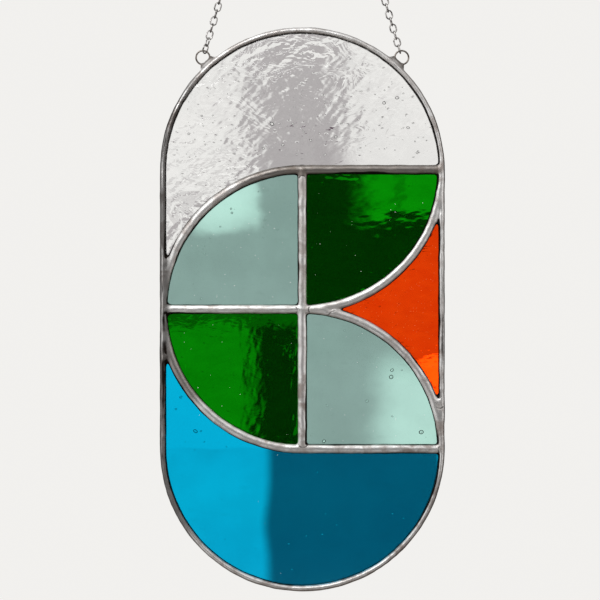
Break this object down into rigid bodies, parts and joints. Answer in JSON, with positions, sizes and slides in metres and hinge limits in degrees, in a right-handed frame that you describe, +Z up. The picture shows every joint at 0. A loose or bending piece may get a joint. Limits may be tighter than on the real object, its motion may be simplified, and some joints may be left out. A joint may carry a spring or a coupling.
{
  "type": "stained glass suncatcher",
  "caption": "Upright oblong suncatcher with round ends: coloured glass panes in soldered seams, laid out in quarter rounds, hung by a chain from a ring.",
  "frame": {"origin": "the point inside the top ring that bears on a hook", "axes": "+X to the right seen from the front, +Y away from the viewer through the glass, +Z up"},
  "size_m": [0.125, 0.0056, 0.3882],
  "materials": {
    "clear_glass": "clear, rippled, with wisps and seeds",
    "sea_green_glass": "clear pale sea green, with a few seeds",
    "green_glass": "clear deep green, gently rippled",
    "orange_glass": "clear red orange",
    "blue_glass": "clear turquoise blue, smooth, with a few seeds",
    "solder": "tin and lead solder, satin, flowed by hand in rounded beads",
    "steel_wire": "nickel-plated wire, satin"
  },
  "bodies": {
    "root": {"pane_clear_top": "clear_glass", "pane_sea_green_upper_left": "sea_green_glass", "pane_green_upper_right": "green_glass", "pane_orange_right": "orange_glass", "pane_green_lower_left": "green_glass", "pane_sea_green_lower_right": "sea_green_glass", "pane_blue_bottom": "blue_glass", "solder_lines": "solder", "side_ring_left": "steel_wire", "side_ring_right": "steel_wire", "chain_left": "steel_wire", "chain_right": "steel_wire", "top_ring": "steel_wire"}
  },
  "joints": []
}
